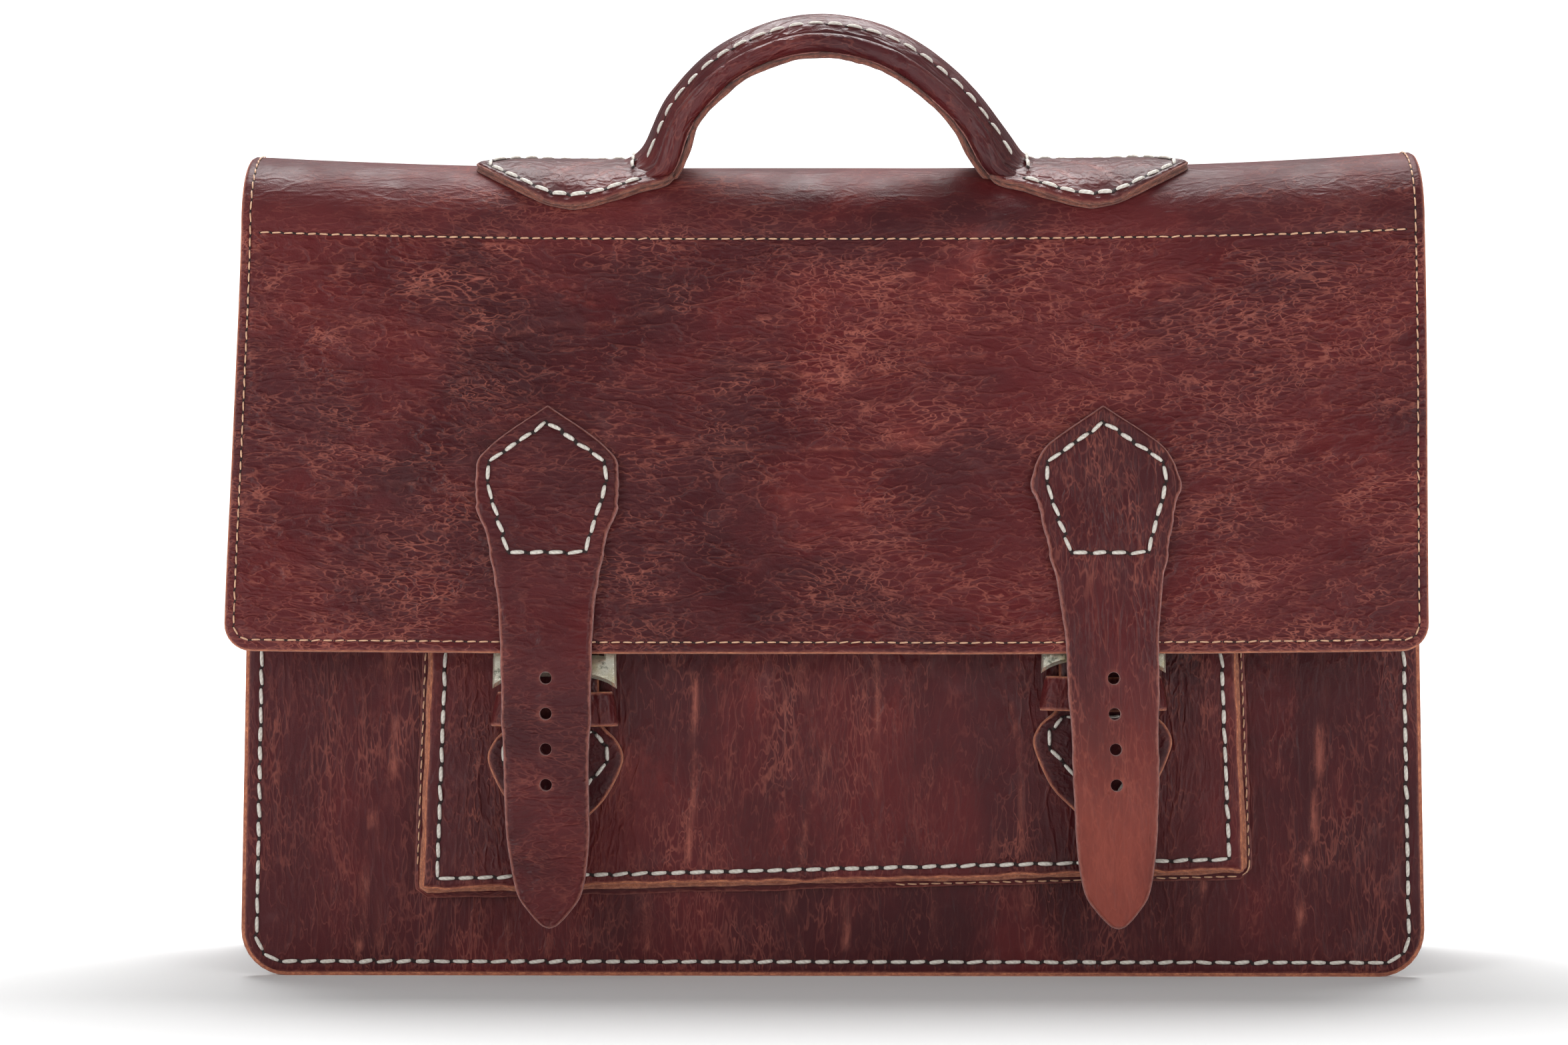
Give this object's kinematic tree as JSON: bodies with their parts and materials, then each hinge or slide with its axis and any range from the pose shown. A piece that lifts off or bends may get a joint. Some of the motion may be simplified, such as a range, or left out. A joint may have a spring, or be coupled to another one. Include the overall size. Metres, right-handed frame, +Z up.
{
  "type": "leather briefcase",
  "caption": "Leather briefcase with a full-width flap, arched top, rolled handle, patch pocket and two buckled straps; flap, straps, handle and buckles move.",
  "frame": {"origin": "centre of the box's underside, where the panels' lower edges stand on the floor", "axes": "+X to the right seen from the front, along the width; -Y to the front; +Z up"},
  "size_m": [0.412, 0.1126, 0.3364],
  "materials": {
    "leather_body": "waxed, matt to satin, long creases",
    "leather_flap": "waxed, satin, fine wrinkle network",
    "leather_strap": "waxed, satin, raw edges",
    "leather_handle": "waxed, satin",
    "leather_raw": "raw cut tan",
    "lining": "suede",
    "board": "leather board",
    "cord": "twisted cord",
    "thread_white": "waxed cord",
    "thread_tan": "waxed thread",
    "brass": "polished"
  },
  "bodies": {
    "bag": {"front_panel": "leather_body", "back_panel": "leather_body", "gusset": "leather_body", "front_seam_thread": "thread_white", "back_seam_thread": "thread_white", "pocket_front": "leather_body", "pocket_gusset": "leather_raw", "pocket_seam_thread": "thread_white", "pocket_flange_thread": "thread_tan", "left_buckle_tab": "leather_strap", "right_buckle_tab": "leather_strap", "left_tab_thread": "thread_white", "right_tab_thread": "thread_white"},
    "flap_top": {"flap_top_panel": "leather_flap", "flap_top_lining": "lining", "handle_stiffener": "board", "top_edge_thread": "thread_tan", "left_handle_pad": "leather_handle", "right_handle_pad": "leather_handle", "left_pad_thread": "thread_white", "right_pad_thread": "thread_white"},
    "flap_front": {"flap_front_panel": "leather_flap", "flap_front_lining": "lining", "flap_edge_thread": "thread_tan", "flap_cross_thread": "thread_tan", "left_strap_anchor": "leather_strap", "right_strap_anchor": "leather_strap", "left_strap_thread": "thread_white", "right_strap_thread": "thread_white"},
    "handle": {"handle_cover": "leather_handle", "handle_core": "cord", "handle_underside": "leather_raw", "handle_thread": "thread_white"},
    "strap_left": {"left_strap_tongue": "leather_strap"},
    "neck_left": {"left_tab_neck": "leather_strap"},
    "buckle_left": {"left_buckle_frame": "brass"},
    "prong_left": {"left_prong": "brass"},
    "keeper_left": {"left_keeper": "leather_strap"},
    "strap_right": {"right_strap_tongue": "leather_strap"},
    "neck_right": {"right_tab_neck": "leather_strap"},
    "buckle_right": {"right_buckle_frame": "brass"},
    "prong_right": {"right_prong": "brass"},
    "keeper_right": {"right_keeper": "leather_strap"}
  },
  "joints": [
    {"name": "flap_top_lift", "type": "hinge", "parent": "bag", "child": "flap_top", "pos_m": [0, 0.04575, 0.257], "axis": [-1, 0, 0], "range_deg": [0, 110]},
    {"name": "flap_front_lift", "type": "hinge", "parent": "flap_top", "child": "flap_front", "pos_m": [0, -0.02425, 0.257], "axis": [-1, 0, 0], "range_deg": [0, 150]},
    {"name": "handle_swing", "type": "hinge", "parent": "flap_top", "child": "handle", "pos_m": [0, -0.0033, 0.28469], "axis": [1, 0, 0], "range_deg": [-15, 15], "stiffness_Nm_per_rad": 0.5},
    {"name": "strap_left_lift", "type": "hinge", "parent": "flap_front", "child": "strap_left", "pos_m": [-0.0996, -0.04965, 0.14674], "axis": [-1, 0, 0], "range_deg": [0, 90]},
    {"name": "neck_left_lift", "type": "hinge", "parent": "bag", "child": "neck_left", "pos_m": [-0.0955, -0.04099, 0.08854], "axis": [1, 0, 0], "range_deg": [0, 50]},
    {"name": "buckle_left_turn", "type": "hinge", "parent": "neck_left", "child": "buckle_left", "pos_m": [-0.0955, -0.03828, 0.11883], "axis": [-1, 0, 0], "range_deg": [0, 30]},
    {"name": "prong_left_turn", "type": "hinge", "parent": "buckle_left", "child": "prong_left", "pos_m": [-0.0955, -0.03828, 0.11883], "axis": [1, 0, 0], "range_deg": [0, 90]},
    {"name": "keeper_left_slide", "type": "slide", "parent": "neck_left", "child": "keeper_left", "axis": [0, 0.0579, 0.9983], "range_m": [-0.0006, 0.0012]},
    {"name": "strap_right_lift", "type": "hinge", "parent": "flap_front", "child": "strap_right", "pos_m": [0.0942, -0.04965, 0.14674], "axis": [-1, 0, 0], "range_deg": [0, 90]},
    {"name": "neck_right_lift", "type": "hinge", "parent": "bag", "child": "neck_right", "pos_m": [0.0933, -0.04067, 0.09403], "axis": [1, 0, 0], "range_deg": [0, 50]},
    {"name": "buckle_right_turn", "type": "hinge", "parent": "neck_right", "child": "buckle_right", "pos_m": [0.0933, -0.03796, 0.12432], "axis": [-1, 0, 0], "range_deg": [0, 30]},
    {"name": "prong_right_turn", "type": "hinge", "parent": "buckle_right", "child": "prong_right", "pos_m": [0.0933, -0.03796, 0.12432], "axis": [1, 0, 0], "range_deg": [0, 90]},
    {"name": "keeper_right_slide", "type": "slide", "parent": "neck_right", "child": "keeper_right", "axis": [0, 0.0579, 0.9983], "range_m": [-0.0006, 0.0012]}
  ],
  "couplings": [
    {"joint": "neck_left_lift", "follows": "flap_front_lift", "ratio": 0.33333},
    {"joint": "buckle_left_turn", "follows": "flap_front_lift", "ratio": 0.2},
    {"joint": "prong_left_turn", "follows": "flap_front_lift", "ratio": 0.6},
    {"joint": "neck_right_lift", "follows": "flap_front_lift", "ratio": 0.33333},
    {"joint": "buckle_right_turn", "follows": "flap_front_lift", "ratio": 0.2},
    {"joint": "prong_right_turn", "follows": "flap_front_lift", "ratio": 0.6}
  ]
}
